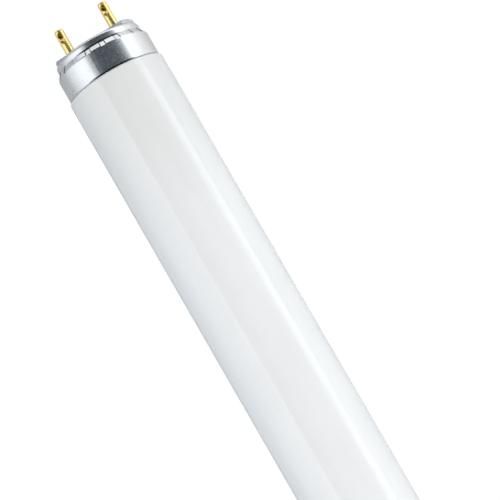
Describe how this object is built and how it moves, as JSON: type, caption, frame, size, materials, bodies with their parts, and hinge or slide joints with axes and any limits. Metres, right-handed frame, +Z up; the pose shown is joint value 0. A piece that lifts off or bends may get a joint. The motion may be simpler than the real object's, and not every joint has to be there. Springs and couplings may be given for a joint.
{
  "type": "fluorescent tube",
  "caption": "Straight white fluorescent tube with a drawn aluminium two-pin base on each end, held and fed by its brass pins.",
  "frame": {"origin": "middle of the tube, on its axis", "axes": "+X along the tube, the pins of each base side by side in Y, +Z up"},
  "size_m": [0.604, 0.0254, 0.0254],
  "materials": {
    "coated_glass": "glossy glass, white coated inside",
    "base_metal": "bright drawn",
    "insulator": "matt moulded",
    "pin_brass": "bright turned",
    "cement": "dry basing cement",
    "lead_wire": "nickel plated wire"
  },
  "bodies": {
    "root": {"glass_bulb": "coated_glass", "base_shell_left": "base_metal", "base_shell_right": "base_metal", "insulator_left": "insulator", "insulator_right": "insulator", "contact_pin_left_1": "pin_brass", "contact_pin_left_2": "pin_brass", "contact_pin_right_1": "pin_brass", "contact_pin_right_2": "pin_brass", "cement_ring_left": "cement", "cement_ring_right": "cement", "lead_wire_left_1": "lead_wire", "lead_wire_left_2": "lead_wire", "lead_wire_right_1": "lead_wire", "lead_wire_right_2": "lead_wire"}
  },
  "joints": []
}
